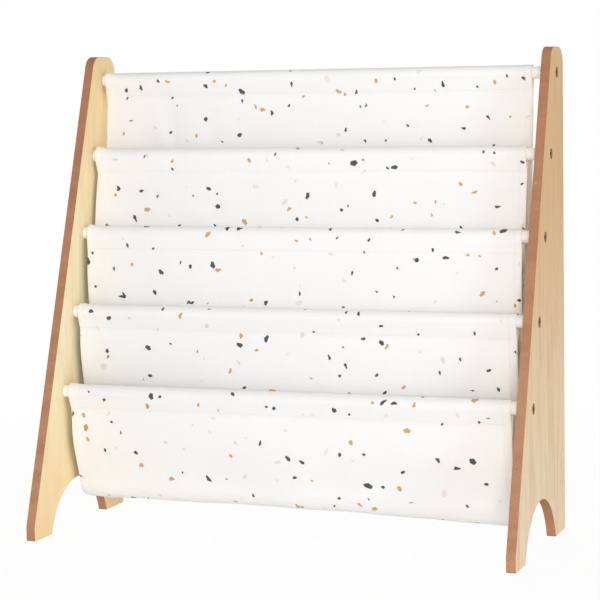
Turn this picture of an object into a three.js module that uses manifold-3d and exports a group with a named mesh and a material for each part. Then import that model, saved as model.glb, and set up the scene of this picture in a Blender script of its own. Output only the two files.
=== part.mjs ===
// Sling bookshelf for a child's room, in millimetres, +Z up, front towards -Y.
// The origin is on the floor, in the middle of the four feet.

import * as THREE from "three";
import { mergeVertices } from "three/addons/utils/BufferGeometryUtils.js";
import Module from "manifold-3d";

const wasm = await Module();
wasm.setup();

// Side panels
const BOARD = 12;
const PANEL_HEIGHT = 600;
const BASE_DEPTH = 260;
const TOP_DEPTH = 62;
const TOE_HEIGHT = 18;
const TOE_ROUND = 3;
const TOP_FRONT_ROUND = 20;
const TOP_BACK_ROUND = 21;
const ARRIS = 0.6;
const ARCH_WIDTH = 160;
const ARCH_RISE = 60;
const BACK_FOOT_WIDTH = 53;

// Rods, all alike, at equal steps down the sloping front edge from the top rod to the front one
const ROD_COUNT = 5;
const ROD_LENGTH = 595;
const ROD_DIAMETER = 16;
const ROD_ARRIS = 0.8;
const ROD_INSET = 36;
const TOP_ROD_DROP = 31;
const FRONT_ROD_HEIGHT = 175;

// Bolts, their heads sunk in the panels, and the threaded inserts in the rod ends
const SHANK_DIAMETER = 6;
const SHANK_LENGTH = 25;
const SHANK_TIP = 0.8;
const HEAD_DIAMETER = 10;
const HEAD_HEIGHT = 6;
const HEAD_ARRIS = 0.8;
const HEAD_CLEARANCE = 1.5;
const HEAD_SUNK = 0.7;
const SOCKET_ACROSS_FLATS = 5;
const SOCKET_DEPTH = 3;
const TIP_CLEARANCE = 8.6;
const INSERT_LENGTH = 15;
const INSERT_WALL = 1.5;
const INSERT_BARB = 0.5;
const BARB_COUNT = 3;

// Sling
const SLING_GAP = 10.5;
const CLOTH = 1.4;
const SLEEVE_EASE = 0.6;
const SLEEVE_DROP = 23;
const SLEEVE_SEAM = 6;
const POCKET_DEPTH = 160;
const SEAM_ALLOWANCE = 12;
const SEAM_LEAD_IN = 28;
const SEAM_LIFT = 14;
const SEAM_EASE = 0.8;
const FOLD_HEIGHT = 34;
const FOLD_WIDTH = 44;
const FOLD_FROM_BACK = 122;
const FOLD_SHOULDER = 28;
const FOLD_SAG = 3;
const BACK_LEAN_DROP = 86;
const BACK_LEAN = 6;
const FRONT_SEAM_BACK = 2;
const FRONT_CURVE_DROP = 60;
const FRONT_CURVE_BACK = 8;

// How far each pocket front's sleeve seam and its belly stand forward of its rod's axis,
// and how far below the axis the belly is
const UPPER_SEAM_FORWARD = 1;
const UPPER_BELLY = 11.5;
const UPPER_BELLY_DROP = 80;
const MIDDLE_SEAM_FORWARD = 7;
const MIDDLE_BELLY = 10;
const MIDDLE_BELLY_DROP = 60;
const LOWER_SEAM_FORWARD = 1;
const LOWER_BELLY = 1.5;
const LOWER_BELLY_DROP = 50;
// Share by which the bellies and the fold are fuller in the middle of the sling than at its ends
const SWELL_SHARE = 0.2;

// Gap left between pieces that touch, and how far a cutter runs past what it cuts
const FIT = 0.3;
const OVERRUN = 1;
// Points closer than this are one point
const WELD = 0.0003;

// How finely round shapes are divided
const ROUND_STEPS = 20;
const HEX_SIDES = 6;
const CORNER_STEPS = 6;
const ARCH_STEPS = 18;
const SLEEVE_STEPS = 14;
const INSERT_STEPS = 12;
const FOLD_ARCS = 4;
const CURVE_STEPS = 3;
const SLING_STATIONS = 7;

const board = new THREE.MeshStandardMaterial({ color: 0xdfc096, roughness: 0.6, metalness: 0 });
const lacquer = new THREE.MeshStandardMaterial({ color: 0xf0efea, roughness: 0.35, metalness: 0 });
const steel = new THREE.MeshStandardMaterial({ color: 0x6b5b4a, roughness: 0.4, metalness: 0.9 });
const brass = new THREE.MeshStandardMaterial({ color: 0xb8964f, roughness: 0.35, metalness: 1 });
const cloth = new THREE.MeshStandardMaterial({ color: 0xf4efe6, roughness: 0.9, metalness: 0 });

const half = (length) => length / 2;
const backY = half(BASE_DEPTH);
const frontY = -half(BASE_DEPTH);
const innerX = half(ROD_LENGTH) + FIT;
const slingWidth = ROD_LENGTH - 2 * SLING_GAP;
const rake = Math.atan2(BASE_DEPTH - TOP_DEPTH, PANEL_HEIGHT - TOE_HEIGHT);

// The sloping front edge's place at a height
function frontEdgeY(z) {
  return frontY + (z - TOE_HEIGHT) * Math.tan(rake);
}

// The axis of a rod, counted from 0 at the top, as a point across the width
function rodAxis(index) {
  const z = THREE.MathUtils.lerp(PANEL_HEIGHT - TOP_ROD_DROP, FRONT_ROD_HEIGHT, index / (ROD_COUNT - 1));
  return new THREE.Vector2(frontEdgeY(z) + ROD_INSET / Math.cos(rake), z);
}

function toSolid(geometry) {
  const bare = new THREE.BufferGeometry();
  bare.setAttribute("position", geometry.getAttribute("position").clone());
  if (geometry.index) bare.setIndex(geometry.index.clone());
  const merged = mergeVertices(bare, WELD);
  return new wasm.Manifold(
    new wasm.Mesh({
      numProp: 3,
      vertProperties: new Float32Array(merged.getAttribute("position").array),
      triVerts: new Uint32Array(merged.index.array),
    }),
  );
}

function toGeometry(solid) {
  const { vertProperties, triVerts } = solid.getMesh();
  const geometry = new THREE.BufferGeometry();
  geometry.setAttribute("position", new THREE.BufferAttribute(new Float32Array(vertProperties), 3));
  geometry.setIndex(new THREE.BufferAttribute(new Uint32Array(triVerts), 1));
  geometry.computeVertexNormals();
  return geometry;
}

// A turned shape about the X axis: each profile point is [radius, place along X]
function turned(profile, steps = ROUND_STEPS) {
  const points = profile.map(([radius, along]) => new THREE.Vector2(radius, along));
  const geometry = new THREE.LatheGeometry(points, steps);
  geometry.rotateZ(-half(Math.PI));
  return geometry;
}

function cylinderAlongX(diameter, from, to, steps = ROUND_STEPS) {
  const geometry = new THREE.CylinderGeometry(half(diameter), half(diameter), to - from, steps);
  geometry.rotateZ(half(Math.PI));
  geometry.translate(half(from + to), 0, 0);
  return geometry;
}

// What a bolt passes through: its hole and its sink in the panel, and the insert and the blind hole in the rod

const boltHoleDiameter = SHANK_DIAMETER + 2 * FIT;
const sinkDiameter = HEAD_DIAMETER + 2 * HEAD_CLEARANCE;
const sinkDepth = FIT + HEAD_HEIGHT + HEAD_SUNK;
const boltSeat = innerX + BOARD - sinkDepth + FIT;
const boltTip = boltSeat - SHANK_LENGTH;
const insertDiameter = boltHoleDiameter + 2 * INSERT_WALL;
const blindHoleRadius = half(insertDiameter) + FIT;

// Side panels

// Points of an arc that rounds the corner between two straight edges
function roundedCorner(corner, before, after, radius) {
  const toBefore = before.clone().sub(corner).normalize();
  const toAfter = after.clone().sub(corner).normalize();
  const halfAngle = half(Math.acos(toBefore.dot(toAfter)));
  const bisector = toBefore.clone().add(toAfter).normalize();
  const centre = corner.clone().addScaledVector(bisector, radius / Math.sin(halfAngle));
  const reach = radius / Math.tan(halfAngle);
  const start = corner.clone().addScaledVector(toBefore, reach).sub(centre).angle();
  const end = corner.clone().addScaledVector(toAfter, reach).sub(centre).angle();
  const turn = Math.atan2(Math.sin(end - start), Math.cos(end - start));
  const points = [];
  for (let i = 0; i <= CORNER_STEPS; i += 1) {
    const angle = start + (turn * i) / CORNER_STEPS;
    points.push(new THREE.Vector2(radius * Math.cos(angle), radius * Math.sin(angle)).add(centre));
  }
  return points;
}

// The arch between the feet: part of a circle through both its ends and its top
function archPoints() {
  const radius = (half(ARCH_WIDTH) ** 2 + ARCH_RISE ** 2) / (2 * ARCH_RISE);
  const centre = new THREE.Vector2(backY - BACK_FOOT_WIDTH - half(ARCH_WIDTH), ARCH_RISE - radius);
  const reach = Math.asin(half(ARCH_WIDTH) / radius);
  const points = [];
  for (let i = 0; i <= ARCH_STEPS; i += 1) {
    const angle = reach - (2 * reach * i) / ARCH_STEPS;
    points.push(new THREE.Vector2(radius * Math.sin(angle), radius * Math.cos(angle)).add(centre));
  }
  return points;
}

function panelOutline() {
  const backFoot = new THREE.Vector2(backY, 0);
  const backTop = new THREE.Vector2(backY, PANEL_HEIGHT);
  const frontTop = new THREE.Vector2(frontEdgeY(PANEL_HEIGHT), PANEL_HEIGHT);
  const toeTop = new THREE.Vector2(frontY, TOE_HEIGHT);
  const toe = new THREE.Vector2(frontY, 0);
  const arch = archPoints();
  return [
    backFoot,
    ...roundedCorner(backTop, backFoot, frontTop, TOP_BACK_ROUND),
    ...roundedCorner(frontTop, backTop, toeTop, TOP_FRONT_ROUND),
    toeTop,
    ...roundedCorner(toe, toeTop, arch[arch.length - 1], TOE_ROUND),
    ...arch.reverse(),
  ];
}

// side is -1 for the left panel and 1 for the right one
function sidePanel(side) {
  const blank = new THREE.ExtrudeGeometry(new THREE.Shape(panelOutline()), {
    depth: BOARD - 2 * ARRIS,
    bevelThickness: ARRIS,
    bevelSize: ARRIS,
    bevelOffset: -ARRIS,
    bevelSegments: 1,
  });
  blank.translate(0, 0, ARRIS);
  // The outline's own X and Y become the frame's Y and Z, and its depth runs along X
  blank.applyMatrix4(
    new THREE.Matrix4().makeBasis(
      new THREE.Vector3(0, 1, 0),
      new THREE.Vector3(0, 0, 1),
      new THREE.Vector3(1, 0, 0),
    ),
  );
  blank.translate(side > 0 ? innerX : -innerX - BOARD, 0, 0);
  let solid = toSolid(blank);
  for (let i = 0; i < ROD_COUNT; i += 1) {
    const axis = rodAxis(i);
    const hole = cylinderAlongX(boltHoleDiameter, innerX - OVERRUN, innerX + BOARD + OVERRUN);
    const sink = cylinderAlongX(sinkDiameter, innerX + BOARD - sinkDepth, innerX + BOARD + OVERRUN);
    for (const cutter of [hole, sink]) {
      if (side < 0) cutter.rotateZ(Math.PI);
      cutter.translate(0, axis.x, axis.y);
      solid = solid.subtract(toSolid(cutter));
    }
  }
  return toGeometry(solid);
}

// Rods, inserts and bolts, each made along X

function rod() {
  const end = half(ROD_LENGTH);
  const radius = half(ROD_DIAMETER);
  const blindHoleFloor = boltTip - TIP_CLEARANCE;
  const rightHalf = [
    [radius, end - ROD_ARRIS],
    [radius - ROD_ARRIS, end],
    [blindHoleRadius, end],
    [blindHoleRadius, blindHoleFloor],
    [0, blindHoleFloor],
  ];
  const leftHalf = rightHalf.map(([r, along]) => [r, -along]).reverse();
  return turned([...leftHalf, ...rightHalf]);
}

// An insert lies in a rod's right end, with ring-shaped barbs round it
function insert() {
  const end = half(ROD_LENGTH) - FIT;
  const start = end - INSERT_LENGTH;
  const bore = half(boltHoleDiameter);
  const outer = half(insertDiameter);
  const step = INSERT_LENGTH / BARB_COUNT;
  const profile = [[bore, start]];
  for (let i = 0; i < BARB_COUNT; i += 1) {
    profile.push([outer - INSERT_BARB, start + step * i]);
    profile.push([outer, start + step * (i + 1) - INSERT_BARB]);
  }
  profile.push([outer - INSERT_BARB, end]);
  profile.push([bore, end]);
  profile.push([bore, start]);
  return turned(profile, INSERT_STEPS);
}

// A bolt lies in the right panel, with its head on the floor of its sunk hole
function bolt() {
  const top = boltSeat + HEAD_HEIGHT;
  const shank = half(SHANK_DIAMETER);
  const head = half(HEAD_DIAMETER);
  const body = turned([
    [0, boltTip],
    [shank - SHANK_TIP, boltTip],
    [shank, boltTip + SHANK_TIP],
    [shank, boltSeat],
    [head, boltSeat],
    [head, top - HEAD_ARRIS],
    [head - HEAD_ARRIS, top],
    [0, top],
  ]);
  const socketDiameter = SOCKET_ACROSS_FLATS / Math.cos(Math.PI / HEX_SIDES);
  const socket = cylinderAlongX(socketDiameter, top - SOCKET_DEPTH, top + OVERRUN, HEX_SIDES);
  return toGeometry(toSolid(body).subtract(toSolid(socket)));
}

// Sling

// Joins outlines that lie across the width, one at each station, into a closed body.
// Each station gives its place along X and its loops of points: the outline, then its holes.
function loft(stations) {
  const positions = [];
  const indices = [];
  const counts = stations[0].loops.map((loop) => loop.length);
  const perStation = counts.reduce((sum, count) => sum + count, 0);
  for (const { x, loops } of stations) {
    for (const point of loops.flat()) positions.push(x, point.x, point.y);
  }
  for (let s = 0; s + 1 < stations.length; s += 1) {
    let first = s * perStation;
    for (const count of counts) {
      for (let i = 0; i < count; i += 1) {
        const a = first + i;
        const b = first + ((i + 1) % count);
        indices.push(a, b, b + perStation, a, b + perStation, a + perStation);
      }
      first += count;
    }
  }
  const addCap = ({ loops }, first, flip) => {
    for (const [a, b, c] of THREE.ShapeUtils.triangulateShape(loops[0], loops.slice(1))) {
      if (flip) indices.push(first + a, first + c, first + b);
      else indices.push(first + a, first + b, first + c);
    }
  };
  addCap(stations[0], 0, true);
  addCap(stations[stations.length - 1], (stations.length - 1) * perStation, false);
  const geometry = new THREE.BufferGeometry();
  geometry.setAttribute("position", new THREE.Float32BufferAttribute(positions, 3));
  geometry.setIndex(indices);
  geometry.computeVertexNormals();
  return geometry;
}

const toTheLeft = (direction) => new THREE.Vector2(-direction.y, direction.x);

// A drop-shaped loop round a rod: an arc, open towards the seam below, that meets a circle at the seam
function dropLoop(axis, seam, radius, seamRadius) {
  const toSeam = seam.clone().sub(axis);
  const open = Math.acos((radius - seamRadius) / toSeam.length());
  const start = toSeam.angle() + open;
  const sweep = 2 * Math.PI - 2 * open;
  const points = [];
  for (let i = 0; i <= SLEEVE_STEPS; i += 1) {
    const angle = start + (sweep * i) / SLEEVE_STEPS;
    points.push(new THREE.Vector2(radius * Math.cos(angle), radius * Math.sin(angle)).add(axis));
  }
  return points;
}

const sleeveBore = half(ROD_DIAMETER) + SLEEVE_EASE;

// The outside of a sleeve, from the seam's back over the rod to the seam's front, anticlockwise as seen from +X
const sleeveOutside = (axis, seam) => dropLoop(axis, seam, sleeveBore + CLOTH, half(CLOTH));

// The hole that the rod goes through, closed by a seam between its two layers
function sleeveHole(axis, seam) {
  const tip = seam.clone().add(axis.clone().sub(seam).setLength(SLEEVE_SEAM));
  return [...dropLoop(axis, tip, sleeveBore, 0), tip].reverse();
}

// Points on both faces of a cloth that follows a curve, from the curve's start to its end
function clothFaces(points) {
  const path = new THREE.CatmullRomCurve3(
    points.map((p) => new THREE.Vector3(p.x, p.y, 0)),
    false,
    "centripetal",
  );
  const steps = CURVE_STEPS * (points.length - 1);
  const left = [];
  const right = [];
  for (let i = 0; i <= steps; i += 1) {
    const place = path.getPoint(i / steps);
    const heading = path.getTangent(i / steps);
    const across = toTheLeft(heading).multiplyScalar(half(CLOTH));
    left.push(new THREE.Vector2(place.x + across.x, place.y + across.y));
    right.push(new THREE.Vector2(place.x - across.x, place.y - across.y));
  }
  return { left, right };
}

// How full the cloth is at a place along its width: least at its ends and most in the middle
const fullness = (x) => 1 + SWELL_SHARE * Math.cos((Math.PI * x) / slingWidth);

const pocketFronts = [
  {
    name: "pocket_front_upper",
    seamForward: UPPER_SEAM_FORWARD,
    belly: UPPER_BELLY,
    bellyDrop: UPPER_BELLY_DROP,
  },
  {
    name: "pocket_front_middle",
    seamForward: MIDDLE_SEAM_FORWARD,
    belly: MIDDLE_BELLY,
    bellyDrop: MIDDLE_BELLY_DROP,
  },
  {
    name: "pocket_front_lower",
    seamForward: LOWER_SEAM_FORWARD,
    belly: LOWER_BELLY,
    bellyDrop: LOWER_BELLY_DROP,
  },
];

const topRod = rodAxis(0);
const frontRod = rodAxis(ROD_COUNT - 1);
const leanTop = new THREE.Vector2(topRod.x - BACK_LEAN, topRod.y - BACK_LEAN_DROP);
const foldY = backY - FOLD_FROM_BACK;
const shoulderZ = FOLD_HEIGHT + FOLD_SHOULDER;
const leanFoot = new THREE.Vector2(foldY + half(FOLD_WIDTH), shoulderZ);

// The middle of the main sheet's straight stretch at a height
function backSheet(z) {
  const share = (leanTop.y - z) / (leanTop.y - leanFoot.y);
  return leanTop.clone().lerp(leanFoot, share);
}

// The fold under the last pocket, from its back shoulder to its front one: half an ellipse
function foldCurve(x) {
  const bottom = FOLD_HEIGHT - FOLD_SAG * fullness(x);
  const points = [];
  for (let i = 0; i <= FOLD_ARCS; i += 1) {
    const angle = (Math.PI * i) / FOLD_ARCS;
    points.push(
      new THREE.Vector2(
        foldY + half(FOLD_WIDTH) * Math.cos(angle),
        shoulderZ - (shoulderZ - bottom) * Math.sin(angle),
      ),
    );
  }
  return points;
}

// The main sheet's curve: down from the top rod, round the fold and up to the front rod
function mainSheetCurve(x) {
  const seams = pocketFronts.map((_, i) => rodAxis(i + 1).y - POCKET_DEPTH);
  return [
    new THREE.Vector2(topRod.x, topRod.y - SLEEVE_DROP),
    leanTop,
    backSheet(seams[0] + SEAM_ALLOWANCE + SEAM_LEAD_IN),
    ...seams.map(backSheet),
    ...foldCurve(x),
    new THREE.Vector2(frontRod.x + FRONT_CURVE_BACK, frontRod.y - FRONT_CURVE_DROP),
    new THREE.Vector2(frontRod.x + FRONT_SEAM_BACK, frontRod.y - SLEEVE_DROP),
  ];
}

function mainSheetLoops(x) {
  const curve = mainSheetCurve(x);
  const topSeam = curve[0];
  const frontSeam = curve[curve.length - 1];
  const { left, right } = clothFaces(curve);
  return [
    [
      ...sleeveOutside(topRod, topSeam),
      ...right,
      ...sleeveOutside(frontRod, frontSeam),
      ...left.reverse(),
    ],
    sleeveHole(topRod, topSeam),
    sleeveHole(frontRod, frontSeam),
  ];
}

// A pocket front: down from its rod, out to its belly and back to the main sheet that it is sewn to
function pocketFrontLoops(index, x) {
  const { seamForward, belly, bellyDrop } = pocketFronts[index];
  const axis = rodAxis(index + 1);
  const seam = new THREE.Vector2(axis.x - seamForward, axis.y - SLEEVE_DROP);
  const onSheet = (z, lift) => backSheet(z).sub(new THREE.Vector2(CLOTH + FIT + lift, 0));
  const foot = axis.y - POCKET_DEPTH;
  const { left, right } = clothFaces([
    seam,
    new THREE.Vector2(axis.x - belly * fullness(x), axis.y - bellyDrop),
    onSheet(foot + SEAM_ALLOWANCE + SEAM_LEAD_IN, SEAM_LIFT),
    onSheet(foot + SEAM_ALLOWANCE, SEAM_EASE),
    onSheet(foot, 0),
  ]);
  return [[...sleeveOutside(axis, seam), ...right, ...left.reverse()], sleeveHole(axis, seam)];
}

function clothBody(loopsAt) {
  const stations = [];
  for (let s = 0; s < SLING_STATIONS; s += 1) {
    const x = slingWidth * (s / (SLING_STATIONS - 1) - half(1));
    stations.push({ x, loops: loopsAt(x) });
  }
  return loft(stations);
}

// Assembly

const bookshelf = new THREE.Group();

function add(parent, name, geometry, material) {
  const mesh = new THREE.Mesh(geometry, material);
  mesh.name = name;
  parent.add(mesh);
}

const sideNames = { "-1": "left", 1: "right" };
for (const side of [-1, 1]) {
  add(bookshelf, `${sideNames[side]}_side_panel`, sidePanel(side), board);
}

for (let i = 0; i < ROD_COUNT; i += 1) {
  const axis = rodAxis(i);
  const tier = new THREE.Group();
  tier.position.set(0, axis.x, axis.y);
  bookshelf.add(tier);
  add(tier, `rod_${i + 1}`, rod(), lacquer);
  for (const side of [-1, 1]) {
    const end = new THREE.Group();
    if (side < 0) end.rotation.z = Math.PI;
    tier.add(end);
    add(end, `${sideNames[side]}_insert_${i + 1}`, insert(), brass);
    add(end, `${sideNames[side]}_bolt_${i + 1}`, bolt(), steel);
  }
}

add(bookshelf, "sling_main_sheet", clothBody(mainSheetLoops), cloth);
pocketFronts.forEach(({ name }, i) => {
  add(bookshelf, name, clothBody((x) => pocketFrontLoops(i, x)), cloth);
});

export default bookshelf;
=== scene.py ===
"""Sling bookshelf for a child's room: two side boards, five lacquered rods and a printed cloth sling.

All lengths are in metres in the part's own frame: +Z up, the front towards -Y, and the origin on the
floor in the middle of the four feet.
"""

import functools
import logging
import math
from dataclasses import dataclass, field
from enum import Enum
from typing import Callable, Dict, List, Optional, Sequence, Tuple, Union

import bmesh
import bpy
import numpy as np
from mathutils import Color, Matrix, Vector, noise


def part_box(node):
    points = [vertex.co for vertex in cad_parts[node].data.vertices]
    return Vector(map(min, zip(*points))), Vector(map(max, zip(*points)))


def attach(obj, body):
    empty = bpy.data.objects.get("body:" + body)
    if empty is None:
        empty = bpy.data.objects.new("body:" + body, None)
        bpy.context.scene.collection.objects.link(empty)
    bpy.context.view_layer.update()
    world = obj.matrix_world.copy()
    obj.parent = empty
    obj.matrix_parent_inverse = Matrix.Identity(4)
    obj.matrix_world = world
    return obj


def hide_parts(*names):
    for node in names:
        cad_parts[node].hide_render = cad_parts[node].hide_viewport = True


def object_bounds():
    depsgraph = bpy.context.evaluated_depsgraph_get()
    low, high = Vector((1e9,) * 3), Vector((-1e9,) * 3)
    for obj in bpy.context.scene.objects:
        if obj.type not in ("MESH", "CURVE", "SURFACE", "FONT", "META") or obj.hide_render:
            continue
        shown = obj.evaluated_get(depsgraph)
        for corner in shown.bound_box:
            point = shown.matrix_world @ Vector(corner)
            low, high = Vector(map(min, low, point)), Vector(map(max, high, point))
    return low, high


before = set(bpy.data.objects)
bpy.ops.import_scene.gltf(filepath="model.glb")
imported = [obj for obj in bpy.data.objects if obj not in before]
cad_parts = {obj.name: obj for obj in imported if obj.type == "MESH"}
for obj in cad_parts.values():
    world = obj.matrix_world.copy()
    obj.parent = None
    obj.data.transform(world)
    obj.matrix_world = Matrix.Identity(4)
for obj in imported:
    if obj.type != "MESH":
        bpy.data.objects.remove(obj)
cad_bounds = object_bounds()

LOG = logging.getLogger("sling_bookshelf")
MM = 0.001
TURN = 2 * math.pi
EVEN = (1.0, 1.0, 1.0)
BODY = "root"
ROD_COUNT = 5
CUT_MAP = "cut"

Point = Tuple[float, float]
Triple = Tuple[float, float, float]
Colour = Triple
Value = Union["Socket", float, Triple]
Settings = Optional[Dict[str, object]]
Sockets = Optional[Dict[Union[str, int], Value]]
Ring = List[bmesh.types.BMVert]


# Shader expressions


def both_ways(operation: str) -> Tuple[Callable, Callable]:
    """A Python operator that adds a Math node, with its reflected form.

    Args:
        operation: The Math node's operation.

    Returns:
        The operator on this value and another, and the one on another value and this.
    """

    def forward(this: "Socket", other: Value) -> "Socket":
        """This value and another."""
        return this.shading.maths(operation, this, other)

    def reflected(this: "Socket", other: Value) -> "Socket":
        """Another value and this."""
        return this.shading.maths(operation, other, this)

    return forward, reflected


class Socket:
    """One output of a shader node, on which Python's arithmetic adds Math nodes."""

    __add__, __radd__ = both_ways("ADD")
    __sub__, __rsub__ = both_ways("SUBTRACT")
    __mul__, __rmul__ = both_ways("MULTIPLY")
    __truediv__, __rtruediv__ = both_ways("DIVIDE")
    __pow__, __rpow__ = both_ways("POWER")
    __lt__ = both_ways("LESS_THAN")[0]
    __gt__ = both_ways("GREATER_THAN")[0]

    def __init__(self, shading: "Shading", out: bpy.types.NodeSocket) -> None:
        """Wraps the output of a node that is in the shading's tree."""
        self.shading = shading
        self.out = out

    def __abs__(self) -> "Socket":
        """This without its sign."""
        return self.shading.maths("ABSOLUTE", self)

    def sine(self) -> "Socket":
        """The sine of this, in radians."""
        return self.shading.maths("SINE", self)

    def larger(self, other: Value) -> "Socket":
        """The larger of this and another."""
        return self.shading.maths("MAXIMUM", self, other)

    def step(self, low: float, high: float) -> "Socket":
        """A smooth rise from 0 where this is low to 1 where it is high."""
        sockets = {"Value": self, "From Min": low, "From Max": high}
        return self.shading.one("ShaderNodeMapRange", {"interpolation_type": "SMOOTHSTEP"}, sockets, "Result")


class Shading:
    """The node tree of a material or of the world, round the shader and the output that it starts with."""

    SHADERS = ("BSDF_PRINCIPLED", "BACKGROUND")
    OUTPUTS = ("OUTPUT_MATERIAL", "OUTPUT_WORLD")

    def __init__(self, owner: Union[bpy.types.Material, bpy.types.World]) -> None:
        """Takes up the tree.

        Args:
            owner: The material or the world that it belongs to.
        """
        owner.use_nodes = True
        self.owner = owner
        self.tree = owner.node_tree
        self.shader = next(n for n in self.tree.nodes if n.type in self.SHADERS)
        self.output = next(n for n in self.tree.nodes if n.type in self.OUTPUTS)

    def node(self, kind: str, settings: Settings = None, sockets: Sockets = None) -> bpy.types.Node:
        """Makes one node.

        Args:
            kind: The node's type.
            settings: Its own settings, which are set first.
            sockets: What its input sockets hold, by name or number: a number, a colour or a link.

        Returns:
            The node.
        """
        made = self.tree.nodes.new(kind)
        for name, value in (settings or {}).items():
            setattr(made, name, value)
        for key, value in (sockets or {}).items():
            self.feed(made.inputs[key], value)
        return made

    def feed(self, socket: bpy.types.NodeSocket, value: Value) -> None:
        """Links a socket, or sets its own value.

        Args:
            socket: The input socket.
            value: What it is to hold.
        """
        if isinstance(value, Socket):
            self.tree.links.new(value.out, socket)
        elif isinstance(value, tuple) and len(socket.default_value) > len(value):
            socket.default_value = (*value, 1.0)
        else:
            socket.default_value = value

    def one(
        self, kind: str, settings: Settings = None, sockets: Sockets = None, out: Union[str, int] = 0
    ) -> Socket:
        """Makes one node and takes the output of that name or number."""
        return Socket(self, self.node(kind, settings, sockets).outputs[out])

    def maths(self, operation: str, *values: Value) -> Socket:
        """Adds a Math node that takes the values in order."""
        return self.one("ShaderNodeMath", {"operation": operation}, dict(enumerate(values)))

    def vectors(self, operation: str, *values: Value, out: Union[str, int] = 0) -> Socket:
        """Adds a Vector Math node that takes the values in order."""
        return self.one("ShaderNodeVectorMath", {"operation": operation}, dict(enumerate(values)), out)

    def place(self) -> Socket:
        """The surface's place in the part's frame."""
        return self.one("ShaderNodeTexCoord", out="Object")

    def facing(self) -> Socket:
        """The surface's own normal in the part's frame."""
        return self.one("ShaderNodeTexCoord", out="Normal")

    def cut(self) -> Socket:
        """The place on the flat cloth, in metres from the cut's corner."""
        return self.one("ShaderNodeUVMap", {"uv_map": CUT_MAP}, out="UV")

    def parts(self, vector: Socket) -> Tuple[Socket, ...]:
        """The three components of a vector or a colour."""
        made = self.node("ShaderNodeSeparateXYZ", None, {0: vector})
        return tuple(Socket(self, out) for out in made.outputs)

    def turned(self, vector: Socket, turn: Value) -> Socket:
        """A vector turned about Z by an angle in radians."""
        return self.one("ShaderNodeVectorRotate", None, {"Vector": vector, "Angle": turn})

    def moved(self, place: Socket, by: Socket, reach: float) -> Socket:
        """A place moved by another vector times a reach."""
        return self.vectors("MULTIPLY_ADD", by, (reach,) * 3, place)

    def along(self, vector: Socket, angle: float) -> Socket:
        """How far a vector goes in the direction at an angle, in radians."""
        return self.vectors("DOT_PRODUCT", vector, (math.cos(angle), math.sin(angle), 0.0), out="Value")

    def random(self, key: Socket, seed: float) -> Tuple[Socket, ...]:
        """Three random numbers from 0 to 1 that depend on nothing but a key and a seed."""
        sockets = {"Vector": key, "W": seed}
        return self.parts(self.one("ShaderNodeTexWhiteNoise", {"noise_dimensions": "4D"}, sockets, "Color"))

    def blend(self, share: Value, first: Value, second: Value) -> Socket:
        """The first colour with a share of the second laid over it."""
        return self.one("ShaderNodeMix", {"data_type": "RGBA"}, {0: share, 6: first, 7: second}, 2)

    def choice(self, chooser: Socket, stops: Sequence[Tuple[float, Colour]]) -> Socket:
        """One of several colours, without a blend between them.

        Args:
            chooser: A number from 0 to 1.
            stops: Where each colour starts, and the colour.

        Returns:
            The chosen colour.
        """
        made = self.node("ShaderNodeValToRGB", None, {"Fac": chooser})
        ramp = made.color_ramp
        ramp.interpolation = "CONSTANT"
        for (start, colour), element in zip(stops, list(ramp.elements)):
            element.position = start
            element.color = (*colour, 1.0)
        for start, colour in stops[len(ramp.elements):]:
            ramp.elements.new(start).color = (*colour, 1.0)
        return Socket(self, made.outputs["Color"])

    def dress(self, **sockets: Value) -> Union[bpy.types.Material, bpy.types.World]:
        """Feeds the tree's own shader.

        Args:
            **sockets: What each of its sockets holds, with _ for a space in the name.

        Returns:
            The finished material or world.
        """
        for name, value in sockets.items():
            self.feed(self.shader.inputs[name.replace("_", " ")], value)
        return self.owner


def painted(red: int, green: int, blue: int) -> Colour:
    """A colour as it is seen on a screen, each part from 0 to 255, as linear light."""
    return tuple(Color((red / 255, green / 255, blue / 255)).from_srgb_to_scene_linear())


def bearings(count: int) -> List[float]:
    """Angles that divide a full turn equally, in radians."""
    return [TURN * k / count for k in range(count)]


@dataclass(frozen=True)
class Mottle:
    """Unevenness over a surface: how fine its noise is, where it starts and ends to show, and how much."""

    scale: float
    stretch: Triple = EVEN
    detail: float = 2.0
    roughness: float = 0.5
    starts: float = 0.0
    ends: float = 1.0
    share: float = 1.0

    def on(self, s: Shading, place: Socket, out: Union[str, int] = 0) -> Socket:
        """Lays the noise over a surface.

        Args:
            s: The surface's material.
            place: The place on it.
            out: 0 for a number about 0.5, or Color for a vector of three such numbers.

        Returns:
            The noise at the place.
        """
        where = place if self.stretch == EVEN else s.vectors("MULTIPLY", place, self.stretch)
        sockets = {"Vector": where, "Scale": self.scale, "Detail": self.detail, "Roughness": self.roughness}
        return s.one("ShaderNodeTexNoise", None, sockets, out)

    def shown(self, value: Socket) -> Socket:
        """How much shows where the noise has a value."""
        return value.step(self.starts, self.ends) * self.share

    def over(self, s: Shading, place: Socket) -> Socket:
        """How much shows at a place."""
        return self.shown(self.on(s, place))


@dataclass(frozen=True)
class Relief:
    """Fine relief: what a height of 1 measures, in metres, and how strongly it shows."""

    depth: float
    strength: float

    def of(self, s: Shading, height: Socket) -> Socket:
        """The normal that follows a height over the surface."""
        sockets = {"Height": height, "Distance": self.depth, "Strength": self.strength}
        return s.one("ShaderNodeBump", None, sockets)


# Finishes


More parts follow.
